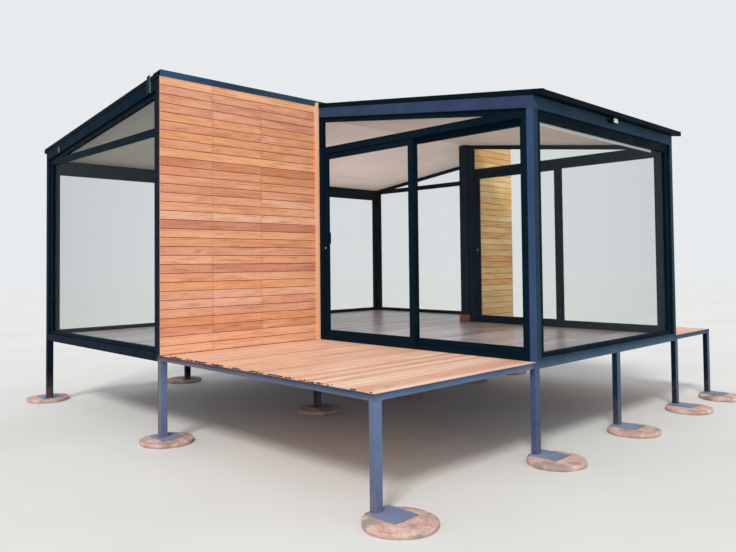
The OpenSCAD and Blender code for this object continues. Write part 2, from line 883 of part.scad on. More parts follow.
module gable_window_frames() {
    color(frame_colour) place() at_gables() gable_frame();
}

module gable_window_glass() {
    color(clear) place() at_gables() gable_panes();
}

module eave_panes(panes, y, depth, grow) {
    for (pane = panes)
        block([pane[0] - grow, y, kerb_h + window_sill_h - grow],
            [pane[1] + grow, y + depth, pane[2] + grow]);
}

module eave_frame(x0, x1, y, top, panes) {
    difference() {
        block([x0, y, kerb_h], [x1, y + frame_d, top]);
        eave_panes(panes, y - over, frame_d + 2 * over, 0);
        eave_panes(panes, y + (frame_d - glass_t) / 2, glass_t, groove);
    }
}

module eave_window_frames() {
    color(frame_colour) place() {
        eave_frame(post_w, x_far - post_w, frame_set_back, front_low(0), front_panes);
        eave_frame(x_near + post_w, x_end - post_w, back_frame_y, back_low(y_back), back_panes);
    }
}

module eave_window_glass() {
    inset = (frame_d - glass_t) / 2;
    color(clear) place() {
        eave_panes(front_panes, frame_set_back + inset, glass_t, groove - glass_gap);
        eave_panes(back_panes, back_frame_y + inset, glass_t, groove - glass_gap);
    }
}

// Floodlight head on a stem from the eave beam
module floodlight() {
    z = front_low(0) + lamp_rise;
    color(frame_colour) place() {
        block([lamp_x - lamp_w / 2, -lamp_out - lamp_d, z], [lamp_x + lamp_w / 2, -lamp_out, z + lamp_h]);
        block([lamp_x - stem_w / 2, -lamp_out - over, z + stem_rise],
            [lamp_x + stem_w / 2, 0, z + stem_rise + stem_h]);
    }
}

module window_head_rail() {
    rail_z = front_head_z + rail_lap - head_rail_h;
    color(white) place() translate([post_w + frame_w, frame_set_back + frame_d, rail_z])
        cube([head_rail_length, rail_d, head_rail_h]);
}

footing_pads();
base_plates();
legs();
floor_beams_long();
floor_beams_cross();
floor_joists();
deck_joists();
deck_edge_frames();
posts();
ridge_beam();
rake_beams();
eave_beams();
purlins();
front_roof_panel();
back_roof_panel();
ridge_flashing();
roof_edge_flashings();
splice_plates();
front_ceiling();
back_ceiling();
floor_panel();
front_deck();
back_deck();
wall_cores();
wall_cladding();
wall_linings();
cladding_trims();
front_door_frame();
back_door_frame();
fixed_door_panels();
fixed_door_glass();
front_sliding_panel();
front_sliding_glass();
front_door_handle();
back_sliding_panel();
back_sliding_glass();
back_door_handle();
transom_frames();
transom_glass();
gable_window_frames();
gable_window_glass();
eave_window_frames();
eave_window_glass();
floodlight();
window_head_rail();
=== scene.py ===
"""Looks of the raised glazed cabin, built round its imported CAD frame. Metres, Z up."""
import json
import math
import random

import bmesh
import bpy
from mathutils import Matrix, Vector


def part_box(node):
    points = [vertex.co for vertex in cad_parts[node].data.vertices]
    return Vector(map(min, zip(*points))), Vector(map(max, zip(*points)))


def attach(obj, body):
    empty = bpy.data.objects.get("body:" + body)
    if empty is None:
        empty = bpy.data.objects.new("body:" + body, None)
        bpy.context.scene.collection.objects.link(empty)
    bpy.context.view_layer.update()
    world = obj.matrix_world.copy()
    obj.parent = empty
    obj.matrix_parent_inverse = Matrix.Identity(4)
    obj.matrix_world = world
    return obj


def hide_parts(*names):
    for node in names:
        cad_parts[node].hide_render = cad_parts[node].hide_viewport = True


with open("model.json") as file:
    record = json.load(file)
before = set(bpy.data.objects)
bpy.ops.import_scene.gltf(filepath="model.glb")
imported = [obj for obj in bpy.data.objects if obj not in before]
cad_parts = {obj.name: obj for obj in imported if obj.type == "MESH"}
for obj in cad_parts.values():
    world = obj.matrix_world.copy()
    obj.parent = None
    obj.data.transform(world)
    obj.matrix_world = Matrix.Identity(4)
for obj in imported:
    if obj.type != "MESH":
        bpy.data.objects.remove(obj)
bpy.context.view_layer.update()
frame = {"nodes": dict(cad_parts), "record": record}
nodes = frame["nodes"]

# The plan is measured from the outer corner of the near front post, with the deck at z = 0.
# This is its middle, at the underside of the pads, which is the part's origin.
PLAN_MIDDLE = Vector((1.105, 3.255, -0.930))
X_NEAR, X_FAR, X_END = -2.19, 3.27, 4.40
Y_WALL, Y_BACK = 3.21, 6.51
POST_W = 0.080
BOARD_T = 0.020
WALL_FACE = Y_WALL - PLAN_MIDDLE.y
DECK_LEVEL = -PLAN_MIDDLE.z


def at(x, y, z):
    """A point of the plan in the part's frame."""
    return Vector((x, y, z)) - PLAN_MIDDLE


def srgb(r, g, b):
    """A colour written as 0-255 sRGB, as linear values."""
    def linear(v):
        v /= 255
        return v / 12.92 if v <= 0.04045 else ((v + 0.055) / 1.055) ** 2.4
    return (linear(r), linear(g), linear(b), 1.0)


# Materials

class Shader:
    """A material with one Principled shader, and short calls for the nodes that feed it."""

    def __init__(self, name, **values):
        self.mat = bpy.data.materials.new(name)
        self.mat.use_nodes = True
        self.tree = self.mat.node_tree
        self.tree.nodes.clear()
        self.out = self.tree.nodes.new("ShaderNodeOutputMaterial")
        self.bsdf = self.tree.nodes.new("ShaderNodeBsdfPrincipled")
        self.tree.links.new(self.bsdf.outputs[0], self.out.inputs[0])
        for key, value in values.items():
            self.bsdf.inputs[key.replace("_", " ")].default_value = value

    def node(self, kind, inputs=(), **props):
        made = self.tree.nodes.new("ShaderNode" + kind)
        for key, value in props.items():
            setattr(made, key, value)
        for key, value in dict(inputs).items():
            self.put(made.inputs[key], value)
        return made

    def put(self, socket, value):
        if isinstance(value, bpy.types.NodeSocket):
            self.tree.links.new(value, socket)
        else:
            socket.default_value = value

    def set(self, name, value):
        self.put(self.bsdf.inputs[name], value)

    def place(self, scale=(1, 1, 1), seed=None):
        """Object coordinates, stretched, and moved by a seed that each board has."""
        vector = self.node("TexCoord").outputs["Object"]
        if seed is not None:
            offset = self.node("CombineXYZ", {"X": seed, "Y": seed, "Z": seed}).outputs[0]
            vector = self.node("VectorMath", {0: vector, 1: offset}).outputs[0]
        return self.node("Mapping", {"Vector": vector, "Scale": scale}).outputs[0]

    def attribute(self, name):
        return self.node("Attribute", attribute_name=name).outputs["Fac"]

    def noise(self, vector, scale, detail=3.0, rough=0.55, distortion=0.0):
        return self.node("TexNoise", {"Vector": vector, "Scale": scale, "Detail": detail,
                                      "Roughness": rough, "Distortion": distortion}).outputs["Fac"]

    def range(self, value, low, high, to_low=0.0, to_high=1.0):
        return self.node("MapRange", {0: value, 1: low, 2: high, 3: to_low, 4: to_high}).outputs[0]

    def math(self, operation, a, b=0.0):
        return self.node("Math", {0: a, 1: b}, operation=operation).outputs[0]

    def ramp(self, fac, *stops):
        made = self.node("ValToRGB", {"Fac": fac})
        elements = made.color_ramp.elements
        while len(elements) < len(stops):
            elements.new(0.5)
        for element, (position, colour) in zip(elements, stops):
            element.position = position
            element.color = colour
        return made.outputs[0]

    def mix(self, fac, a, b, mode="MIX"):
        made = self.node("Mix", data_type="RGBA", blend_type=mode)
        self.put(made.inputs[0], fac)
        self.put(made.inputs[6], a)
        self.put(made.inputs[7], b)
        return made.outputs[2]

    def axis(self, name):
        """One object coordinate."""
        vector = self.node("TexCoord").outputs["Object"]
        return self.node("SeparateXYZ", {0: vector}).outputs[name]

    def facing(self, axis, low, high):
        """From none to one, as a face turns to or from an axis."""
        normal = self.node("TexCoord").outputs["Normal"]
        return self.range(self.node("SeparateXYZ", {0: normal}).outputs[axis], low, high)

    def faces_front(self):
        """One on the faces that look along -Y, and none on the rest."""
        return self.facing("Y", -0.4, -0.8)

    def bump(self, height, distance, strength=1.0, under=None):
        inputs = {"Height": height, "Distance": distance, "Strength": strength}
        if under is not None:
            inputs["Normal"] = under
        return self.node("Bump", inputs).outputs[0]


def painted_steel(name, colours, front=None, front_ends=(-0.45, -0.35), rough=0.5, dust=0.14, shine=0.02,
                  outdoors=True, settled=0.0):
    """Satin paint, slightly mottled and dusty. Colours are (x, colour) pairs along the ridge, with painted
    shade in them, and front is a copy of the colour with painted light and shade, for the near bay's faces
    along -Y. From where the front bay ends, measured from the wall's face, all of it has the first of the
    colours. Below the near deck it is paler, partly faded paint and partly painted sunlight, with a bluer
    lit copy on the faces along -Y, and it has soil on its foot."""
    s = Shader(name, Metallic=0.0, Specular_IOR_Level=shine)
    here = s.place()
    length = X_END - X_NEAR
    # The colours along the ridge carry painted shade.
    along = s.range(s.axis("X"), X_NEAR - PLAN_MIDDLE.x, X_END - PLAN_MIDDLE.x)
    base = s.ramp(along, *[((x - X_NEAR) / length, colour) for x, colour in colours])
    side = s.faces_front()
    # Painted light and shade: the faces along -Y take the front colour.
    if front is not None:
        base = s.mix(side, base, front)
        ridge_on = s.range(s.axis("Y"), *(WALL_FACE + y for y in front_ends))
        base = s.mix(ridge_on, base, colours[0][1])
    # Below the near deck: paler paint, partly faded and partly painted sunlight, bluer on the faces along -Y
    if outdoors:
        low = s.range(s.axis("Z"), DECK_LEVEL + 0.02, DECK_LEVEL - 0.06)
        deck_side = s.range(s.axis("Y"), WALL_FACE + 0.10, WALL_FACE + 0.02)
        near = s.range(s.axis("X"), -PLAN_MIDDLE.x - 0.02, -PLAN_MIDDLE.x - 0.12, 0.0, 0.92)
        worn = s.math("MAXIMUM", near, s.math("MULTIPLY", side, 0.45))
        worn = s.math("MULTIPLY", s.math("MULTIPLY", low, deck_side), worn)
        edge_tone = s.mix(s.range(s.axis("Y"), WALL_FACE - 2.4, WALL_FACE - 0.8), srgb(101, 110, 136),
                          srgb(124, 112, 124))
        base = s.mix(worn, base, s.mix(side, edge_tone, srgb(104, 123, 160)))
    tone = s.range(s.noise(here, 2.2, 5, 0.62), 0.32, 0.74, 0.82, 1.20)
    base = s.node("VectorMath", {0: base, "Scale": tone}, operation="SCALE").outputs[0]
    specks = s.range(s.noise(here, 55, 4, 0.7), 0.60, 0.72)
    base = s.mix(s.math("MULTIPLY", specks, dust), base, srgb(160, 136, 140))
    if settled:
        fallen = s.range(s.noise(here, 1.6, 6, 0.7), 0.35, 0.70, 0.3 * settled, settled)
        base = s.mix(s.math("MULTIPLY", s.facing("Z", 0.6, 0.95), fallen), base, srgb(128, 122, 116))
    if outdoors:
        height = s.range(s.axis("Z"), 0.06, 0.42, 1.0, 0.0)
        splash = s.math("MULTIPLY", height, s.range(s.noise(here, 7, 5, 0.65), 0.40, 0.72))
        base = s.mix(s.math("MULTIPLY", splash, 0.6), base, srgb(140, 108, 112))
    s.set("Base Color", base)
    s.set("Roughness", s.range(s.noise(here, 7, 4), 0.3, 0.7, rough - 0.08, rough + 0.12))
    fine = s.bump(s.noise(here, 420, 2), 0.0006, 0.25)
    s.set("Normal", s.bump(s.noise(here, 6, 2), 0.004, 0.12, fine))
    return s.mat


def strap_paint():
    """Dark paint, with a painted highlight: pale on the faces that look along -Y, toward the near deck."""
    s = Shader("strap_paint", Roughness=0.5)
    here = s.place()
    # Painted highlight: the faces along -Y are pale.
    base = s.mix(s.faces_front(), srgb(8, 24, 38), srgb(124, 142, 156))
    tone = s.range(s.noise(here, 20, 4), 0.3, 0.7, 0.85, 1.15)
    s.set("Base Color", s.node("VectorMath", {0: base, "Scale": tone}, operation="SCALE").outputs[0])
    s.set("Specular IOR Level", 0.1)
    s.set("Normal", s.bump(s.noise(here, 300, 2), 0.0005, 0.25))
    return s.mat


def boards(name, along, colours, grain=1.0, rough=0.55, joint=None, per_board=True, hue=1.0, front=None):
    """Oiled boards. Each has its own tone, hue and piece of grain, which runs along one axis. The joint
    is the depth behind which the gaps are painted shade in brown, and front a paler colour of the faces
    along -Y, a painted highlight."""
    s = Shader(name)
    squeeze = [14.0, 14.0, 14.0]
    squeeze["XYZ".index(along)] = 0.9
    seed = s.attribute("seed") if per_board else None
    streak = s.place(squeeze, seed)
    slow = [3.0, 3.0, 3.0]
    slow["XYZ".index(along)] = 0.75
    broad = s.noise(s.place(slow, seed), 1.3, 4, 0.6, 0.4)
    lines = s.noise(streak, 3.2, 8, 0.68, 0.35)
    fibres = s.noise(streak, 17, 4, 0.7)
    fac = s.math("ADD", s.math("MULTIPLY", broad, 0.62), s.math("MULTIPLY", lines, 0.38))
    if per_board:
        tone = s.range(s.attribute("tone"), 0, 1, -0.17, 0.17)
        fac = s.math("ADD", fac, tone)
    count = len(colours)
    stops = [(0.29 + 0.43 * i / (count - 1), c) for i, c in enumerate(colours)]
    base = s.ramp(fac, *stops)
    if per_board:
        tint = s.ramp(s.attribute("hue"), (0.0, (0.955, 0.95, 1.12, 1)), (1.0, (1.04, 0.975, 0.83, 1)))
        base = s.mix(hue, base, tint, "MULTIPLY")
    darkest = tuple(v * 0.50 for v in colours[0][:3]) + (1,)
    darker = tuple(v * 0.62 for v in colours[1][:3]) + (1,)
    base = s.mix(s.math("MULTIPLY", s.range(lines, 0.50, 0.30), 0.50 * grain), base, darkest)
    base = s.mix(s.math("MULTIPLY", s.range(fibres, 0.58, 0.36), 0.28 * grain), base, darker)
    squash = [7.0, 7.0, 7.0]
    squash["XYZ".index(along)] = 2.1
    cells = s.node("TexVoronoi", {"Vector": s.place(squash, seed), "Scale": 0.55}, feature="F1")
    knot = s.range(cells.outputs["Distance"], 0.085, 0.03)
    base = s.mix(s.math("MULTIPLY", knot, 0.55 * grain), base, srgb(120, 62, 36))
    # Painted shade in the board gaps: the faces behind the joint depth are brown.
    if joint is not None:
        inside = s.range(s.axis("Y"), joint + 0.003, joint + 0.008, 0.0, 0.85)
        base = s.mix(inside, base, srgb(180, 78, 36))
    # Painted highlight: the faces along -Y take the paler front colour.
    if front is not None:
        base = s.mix(s.math("MULTIPLY", s.faces_front(), 0.85), base, front)
    s.set("Base Color", base)
    s.set("Roughness", s.range(lines, 0.3, 0.7, rough + 0.08, rough - 0.06))
    s.set("Specular IOR Level", 0.35)
    s.set("Normal", s.bump(fibres, 0.0012, 0.35, s.bump(lines, 0.003, 0.30)))
    return s.mat


def pane_glass():
    """Clear glass, slightly green: light passes straight through, and the surface mirrors by angle."""
    s = Shader("clear_glass")
    s.tree.nodes.remove(s.bsdf)
    through = s.node("BsdfTransparent", {"Color": (0.982, 0.991, 0.988, 1)})
    mirror = s.node("BsdfGlossy", {"Color": (0.15, 0.165, 0.17, 1), "Roughness": 0.015})
    back = s.node("NewGeometry").outputs["Backfacing"]
    angle = s.node("Fresnel", {"IOR": s.range(back, 0, 1, 1.38, 1 / 1.38)}).outputs[0]
    both = s.node("MixShader", {0: angle, 1: through.outputs[0], 2: mirror.outputs[0]})
    s.tree.links.new(both.outputs[0], s.out.inputs[0])
    return s.mat


def ceiling_board(name, dull, bright):
    """Pale plywood sheets, with a thin joint from sheet to sheet, and painted shade: darker towards the wall
    than towards the eave. Those of the near wing are greyer, painted shade.
    """
    s = Shader(name, Roughness=0.62)
    streak = s.place((14, 1.1, 1.1))
    fine = s.noise(streak, 4.5, 6, 0.6, 0.3)
    cloud = s.noise(s.place(), 1.3, 3)
    base = s.ramp(cloud, (0.3, dull), (0.7, bright))
    # Painted shade: darker towards the wall, lighter towards the eave.
    painted_eave_light = s.range(s.axis("Y"), WALL_FACE + 0.3, WALL_FACE + 1.9, 0.84, 1.04)
    base = s.node("VectorMath", {0: base, "Scale": painted_eave_light}, operation="SCALE").outputs[0]
    # Painted shade: the near wing's sheets are greyer and darker.
    near_wing = s.range(s.axis("X"), 0.1 - PLAN_MIDDLE.x, -0.3 - PLAN_MIDDLE.x)
    base = s.mix(near_wing, base, srgb(192, 187, 178))
    base = s.mix(s.math("MULTIPLY", s.range(fine, 0.5, 0.3), 0.30), base, srgb(180, 156, 140))
    sheets = s.node("TexBrick", {"Vector": s.place(), "Scale": 1.0, "Mortar Size": 0.004,
                                 "Mortar Smooth": 0.3, "Brick Width": 1.22, "Row Height": 2.44}, offset=0.5)
    seam = sheets.outputs["Fac"]
    s.set("Base Color", s.mix(s.math("MULTIPLY", seam, 0.5), base, srgb(146, 126, 112)))
    s.set("Normal", s.bump(seam, -0.002, 0.6, s.bump(fine, 0.001, 0.2)))
    return s.mat


def floor_planks():
    """Pale grey-pink laminate planks, 190 mm wide, along the ridge."""
    s = Shader("floor_board")
    brick = s.node("TexBrick", {"Vector": s.place(), "Scale": 1.0, "Mortar Size": 0.0022,
                                "Mortar Smooth": 0.2, "Brick Width": 1.28, "Row Height": 0.19, "Bias": 0.0,
                                "Color1": (0, 0, 0, 1), "Color2": (1, 1, 1, 1),
                                "Mortar": (0.5, 0.5, 0.5, 1)}, offset=0.37)
    tone = s.node("RGBToBW", {0: brick.outputs["Color"]}).outputs[0]
    streak = s.noise(s.place((1.0, 13, 13), s.math("MULTIPLY", tone, 3.0)), 4.0, 7, 0.65, 0.3)
    fac = s.math("ADD", s.math("MULTIPLY", streak, 0.52), s.math("MULTIPLY", tone, 0.42))
    base = s.ramp(fac, (0.24, srgb(138, 124, 126)), (0.47, srgb(163, 150, 152)), (0.70, srgb(190, 178, 180)))
    seam = brick.outputs["Fac"]
    s.set("Base Color", s.mix(s.math("MULTIPLY", seam, 0.8), base, srgb(92, 82, 78)))
    s.set("Roughness", s.range(streak, 0.3, 0.7, 0.36, 0.26))
    s.set("Normal", s.bump(seam, -0.0015, 0.6, s.bump(streak, 0.0008, 0.2)))
    return s.mat


def wall_board():
    """Pale lining inside, and the dark membrane behind the cladding outside."""
    s = Shader("wall_board", Roughness=0.7)
    here = s.place()
    base = s.ramp(s.noise(here, 3, 5, 0.6), (0.3, srgb(206, 192, 174)), (0.7, srgb(224, 212, 196)))
    outside = s.math("LESS_THAN", s.axis("Y"), WALL_FACE + BOARD_T + 0.001)
    s.set("Base Color", s.mix(outside, base, srgb(34, 28, 26)))
    s.set("Normal", s.bump(s.noise(here, 160, 3), 0.0008, 0.3))
    return s.mat


def rough_concrete():
    """Cast by hand in the soil: tan and pink, with stones showing and red earth on it."""
    s = Shader("concrete")
    here = s.place()
    stones = s.node("TexVoronoi", {"Vector": here, "Scale": 34.0}, feature="F1")
    coarse = s.noise(here, 8, 7, 0.65)
    base = s.ramp(coarse, (0.30, srgb(190, 148, 136)), (0.50, srgb(224, 188, 174)),
                  (0.72, srgb(244, 218, 206)))
    stone = s.range(stones.outputs["Distance"], 0.30, 0.16)
    tint = s.node("RGBToBW", {0: stones.outputs["Color"]}).outputs[0]
    stones_colour = s.ramp(tint, (0.2, srgb(150, 124, 118)), (0.8, srgb(226, 210, 204)))
    base = s.mix(s.math("MULTIPLY", stone, 0.4), base, stones_colour)
    damp = s.range(s.noise(here, 4.1, 3), 0.54, 0.62)
    base = s.mix(s.math("MULTIPLY", damp, 0.7), base, srgb(158, 154, 148))
    earth = s.range(s.noise(here, 3.2, 4), 0.54, 0.66)
    base = s.mix(s.math("MULTIPLY", earth, 0.5), base, srgb(156, 96, 86))
    gravel = s.noise(here, 95, 3, 0.7)
    base = s.mix(s.range(gravel, 0.55, 0.40, 0.0, 0.34), base, srgb(112, 74, 70))
    s.set("Base Color", base)
    s.set("Roughness", 0.92)
    s.set("Normal", s.bump(gravel, 0.010, 0.9, s.bump(stone, 0.004, 0.5)))
    return s.mat


def plain(name, colour, rough, metal=0.0, scale=120.0, spread=0.12, bump=0.0004):
    """A small part's finish: one colour with fine mottling and a fine surface."""
    s = Shader(name, Metallic=metal)
    here = s.place()
    low = tuple(v * (1 - spread) for v in colour[:3]) + (1,)
    high = tuple(min(1, v * (1 + spread)) for v in colour[:3]) + (1,)
    s.set("Base Color", s.ramp(s.noise(here, scale / 6, 5, 0.6), (0.3, low), (0.7, high)))
    s.set("Roughness", s.range(s.noise(here, scale, 3), 0.3, 0.7, rough - 0.05, rough + 0.07))
    s.set("Normal", s.bump(s.noise(here, scale * 3, 2), bump, 0.4))
    return s.mat


WOOD = (srgb(212, 138, 102), srgb(231, 163, 124), srgb(245, 184, 144), srgb(253, 202, 164))
# GOLDEN_WOOD is a brighter, yellower copy of the cladding's wood for the far wing, with painted light in it.
GOLDEN_WOOD = (srgb(230, 162, 92), srgb(247, 193, 118), srgb(253, 214, 146), srgb(255, 230, 172))
DECK_WOOD = (srgb(214, 160, 134), srgb(229, 182, 154), srgb(239, 198, 170), srgb(246, 214, 188))
TRIM_WOOD = (srgb(216, 157, 119), srgb(231, 178, 140), srgb(243, 198, 162))
BLOCK_WOOD = (srgb(112, 62, 40), srgb(146, 84, 56), srgb(172, 106, 74))

# Paint colours along the ridge, with painted shade in them: the near gable and the far end are darker than
# the near bay's corner.
# The ridge flashing's colours carry painted light and shade: lighter at the near end, darker at the far end.
STEEL_PAINT_AND_SHADE = ((X_NEAR, srgb(14, 28, 42)), (-0.25, srgb(14, 28, 42)), (-0.10, srgb(54, 74, 110)),
               (0.15, srgb(54, 74, 110)), (0.50, srgb(30, 50, 68)), (3.0, srgb(13, 28, 36)))
BEAM_PAINT_AND_SHADE = ((X_NEAR, srgb(3, 25, 40)), (-0.25, srgb(3, 25, 40)), (-0.10, srgb(50, 65, 94)),
              (0.15, srgb(50, 65, 94)), (0.50, srgb(32, 50, 68)))
RIDGE_PAINT_LIGHT_AND_SHADE = ((X_NEAR, srgb(50, 85, 119)), (-1.3, srgb(44, 65, 89)), (-0.2, srgb(52, 73, 92)),
               (X_FAR, srgb(34, 56, 78)))


def even(colour):
    """One colour all along the ridge."""
    return ((X_NEAR, colour), (X_END, colour))


# Each front colour is a copy for the faces along -Y, with painted light and shade.
steel = painted_steel("steel_paint", STEEL_PAINT_AND_SHADE, srgb(40, 62, 76))
beam_steel = painted_steel("beam_paint", BEAM_PAINT_AND_SHADE, srgb(52, 72, 94), (0.0, 0.04), dust=0.03,
                           outdoors=False)
plate_steel = painted_steel("plate_paint", even(srgb(122, 136, 166)), dust=0.7, outdoors=False)
roof = painted_steel("roof_paint", even(srgb(7, 22, 30)), rough=0.55, dust=0.05, outdoors=False,
                     settled=0.28)
ridge_paint = painted_steel("ridge_paint", RIDGE_PAINT_LIGHT_AND_SHADE, rough=0.55, outdoors=False)
coating = painted_steel("frame_coating", even(srgb(8, 26, 38)), rough=0.48, dust=0.05, outdoors=False)
strap = strap_paint()
glass = pane_glass()
# The cladding's gaps carry painted shade behind the wall's face.
cladding = boards("cladding_timber", "X", WOOD, joint=WALL_FACE)
# The far wing's boards are the brighter copy, painted light.
golden_cladding = boards("golden_cladding_timber", "X", GOLDEN_WOOD, joint=WALL_FACE, hue=0.45)
# The trim's faces along -Y carry a painted highlight.
trim_wood = boards("trim_timber", "Z", TRIM_WOOD, 0.6, per_board=False, front=srgb(255, 212, 174))
decking = boards("deck_timber", "X", DECK_WOOD, 0.75, 0.5, hue=0.4)
ceiling = ceiling_board("ceiling_board", srgb(234, 214, 205), srgb(244, 227, 218))
# The front bay's ceiling is a darker copy of the same boards, painted shade.
front_ceiling = ceiling_board("front_ceiling_board", srgb(208, 190, 180), srgb(220, 203, 193))
planks = floor_planks()
lining = wall_board()
concrete = rough_concrete()
lamp_black = plain("lamp_body", srgb(18, 20, 24), 0.45)
lens_white = plain("lamp_lens", srgb(240, 243, 243), 0.25)
rail_white = plain("white_rail", srgb(248, 251, 252), 0.35, spread=0.03)
zinc = plain("zinc_fixings", srgb(140, 144, 150), 0.42, 0.9)
lock_metal = plain("lock_metal", srgb(206, 214, 226), 0.4, 0.1)
dark_fixing = plain("dark_fixings", srgb(62, 44, 36), 0.5, 0.3)
litter = plain("litter", srgb(58, 30, 26), 0.9, scale=400.0, spread=0.45, bump=0.001)
block_wood = boards("block_timber", "X", BLOCK_WOOD, 0.8, per_board=False)

SLOT_MATERIALS = {
    "steel_paint": steel, "roof_paint": roof, "frame_coating": coating, "clear_glass": glass,
    "cladding_timber": trim_wood, "deck_timber": decking, "ceiling_board": ceiling,
    "floor_board": planks, "wall_board": lining, "concrete": concrete, "lamp_body": lamp_black,
    "white_rail": rail_white,
}
NODE_MATERIALS = {
    "rake_beams": beam_steel, "eave_beams": beam_steel, "splice_plates": strap,
    "base_plates": plate_steel, "ridge_flashing": ridge_paint, "front_ceiling": front_ceiling,
}
for part in frame["record"]["subparts"]:
    mesh = nodes[part["node"]].data
    mesh.materials.clear()
    mesh.materials.append(NODE_MATERIALS.get(part["node"]) or SLOT_MATERIALS[part["material_slot"]])


# Softened edges on the CAD parts

EDGE_RADIUS = {
    "legs": 0.004, "posts": 0.004, "rake_beams": 0.004, "eave_beams": 0.004, "floor_beams_long": 0.004,
    "floor_beams_cross": 0.003, "ridge_beam": 0.003, "base_plates": 0.0015, "deck_edge_frames": 0.001,
    "front_door_frame": 0.0012, "back_door_frame": 0.0012, "fixed_door_panels": 0.0015,
    "front_sliding_panel": 0.0015, "back_sliding_panel": 0.0015, "transom_frames": 0.0015,
    "gable_window_frames": 0.0015, "eave_window_frames": 0.0015, "cladding_trims": 0.002,
    "window_head_rail": 0.003, "splice_plates": 0.001,
}
for name, radius in EDGE_RADIUS.items():
    weld = nodes[name].modifiers.new("weld", "WELD")
    weld.merge_threshold = 0.00005
    bevel = nodes[name].modifiers.new("bevel", "BEVEL")
    bevel.width = radius
    bevel.segments = 2
    bevel.limit_method = "ANGLE"
    bevel.angle_limit = math.radians(40)
    bevel.harden_normals = False


# Mesh helpers

def piece(name, bm, material, body="root", replaces=(), smooth=False):
    """Turns a bmesh into a piece of the part, riding on a body."""
    bmesh.ops.recalc_face_normals(bm, faces=bm.faces)
    mesh = bpy.data.meshes.new(name)
    bm.to_mesh(mesh)
    bm.free()
    for polygon in mesh.polygons:
        polygon.use_smooth = smooth
    mesh.materials.append(material)
    obj = bpy.data.objects.new(name, mesh)
    bpy.context.scene.collection.objects.link(obj)
    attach(obj, body)
    if replaces:
        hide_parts(*replaces)
    return obj


def prism(bm, profile, start, step, values=()):
    """Sweeps a closed profile, given as vectors, from start by step. Values are (layer, number) pairs."""
    first = [bm.verts.new(start + p) for p in profile]
    last = [bm.verts.new(start + p + step) for p in profile]
    for layer, value in values:
        for v in first + last:
            v[layer] = value
    count = len(profile)
    for i in range(count):
        j = (i + 1) % count
        bm.faces.new((first[i], first[j], last[j], last[i]))
    bm.faces.new(first[::-1])
    bm.faces.new(last)


def box(bm, low, high):
    """A box from its lowest to its highest corner."""
    low, high = Vector(low), Vector(high)
    size = high - low
    side = [Vector((0, 0, 0)), Vector((0, size.y, 0)), Vector((0, size.y, size.z)), Vector((0, 0, size.z))]
    prism(bm, side, low, Vector((size.x, 0, 0)))


def disc(bm, centre, normal, radius, height, sides=10, turn=0.0):
    """A short round or many-sided bar that stands on centre along normal."""
    normal = Vector(normal).normalized()
    u = normal.orthogonal().normalized()
    v = normal.cross(u)
    profile = [u * (radius * math.cos(2 * math.pi * i / sides + turn))
               + v * (radius * math.sin(2 * math.pi * i / sides + turn)) for i in range(sides)]
    prism(bm, profile, Vector(centre), normal * height)


def board_layers(bm):
    return [bm.verts.layers.float.new(name) for name in ("tone", "seed", "hue")]


# Board cladding

CLADDING_H = 3.0
CLADDING_ROWS = 31
TRIM_OUT = 0.036
STUD_LINES = (-1.549, -0.877)
NEAR_WALL = (X_NEAR, -TRIM_OUT)
FAR_WALL = (X_FAR + TRIM_OUT, X_END)
END_GAP = 0.0028
NAIL_HEIGHTS = (0.028, 0.074)
NAIL_R, NAIL_H = 0.0034, 0.0006


def cladding_boards():
    """Shiplap boards with a shadow gap, some of them jointed on a stud, and a nail line on each stud."""
    rng = random.Random(11)
    heads = bmesh.new()
    pitch = CLADDING_H / CLADDING_ROWS
    gap, edge, deep = 0.006, 0.0022, 0.0125
    profile = [Vector((0, y, z)) for y, z in (
        (0, gap + edge), (edge, gap), (deep, gap), (deep, 0), (BOARD_T, 0), (BOARD_T, pitch - 0.0005),
        (edge, pitch - 0.0005), (0, pitch - 0.0005 - edge))]
    far_middle = (FAR_WALL[0] + FAR_WALL[1]) / 2
    for name, (x0, x1), studs, jointed, wood in (
            ("near_wing_boards", NEAR_WALL, STUD_LINES, 0.62, cladding),
            ("far_wing_boards", FAR_WALL, (far_middle,), 0.0, golden_cladding)):
        bm = bmesh.new()
        layers = board_layers(bm)
        for row in range(CLADDING_ROWS):
            cuts = [x for x in studs if rng.random() < jointed]
            ends = [x0, *cuts, x1]
            # Painted light: the lowest rows are lighter, as if lit from the deck below, on top of each row's
            # own tone.
            row_tone_and_deck_light = rng.gauss(0.44 + 0.45 * max(0.0, 1 - row / 7), 0.25)
            row_hue = rng.random()
            for a, b in zip(ends, ends[1:]):
                a += END_GAP / 2 if a in cuts else 0
                b -= END_GAP / 2 if b in cuts else 0
                tone = min(1.0, max(0.0, row_tone_and_deck_light + rng.gauss(0, 0.07)))
                values = tone, rng.uniform(0, 60), row_hue + rng.gauss(0, 0.09)
                prism(bm, profile, at(a, Y_WALL, row * pitch), Vector((b - a, 0, 0)), zip(layers, values))
            for x in (x0 + 0.03, *studs, x1 - 0.03):
                spread = (-0.008, 0.008) if x in cuts else (rng.uniform(-0.004, 0.004),)
                for dx in spread:
                    for z in NAIL_HEIGHTS:
                        head = at(x + dx, Y_WALL + 0.0002, row * pitch + z)
                        disc(heads, head, (0, -1, 0), NAIL_R, NAIL_H, 8)
        piece(name, bm, wood, replaces=("wall_cladding",))
    piece("cladding_nails", heads, dark_fixing)


DECK_ROWS = 33
DECK_T = 0.022
DECK_EDGE = 0.005
JOIST_W = 0.050
SCREW_IN = 0.022
SCREW_R, SCREW_H = 0.0046, 0.001


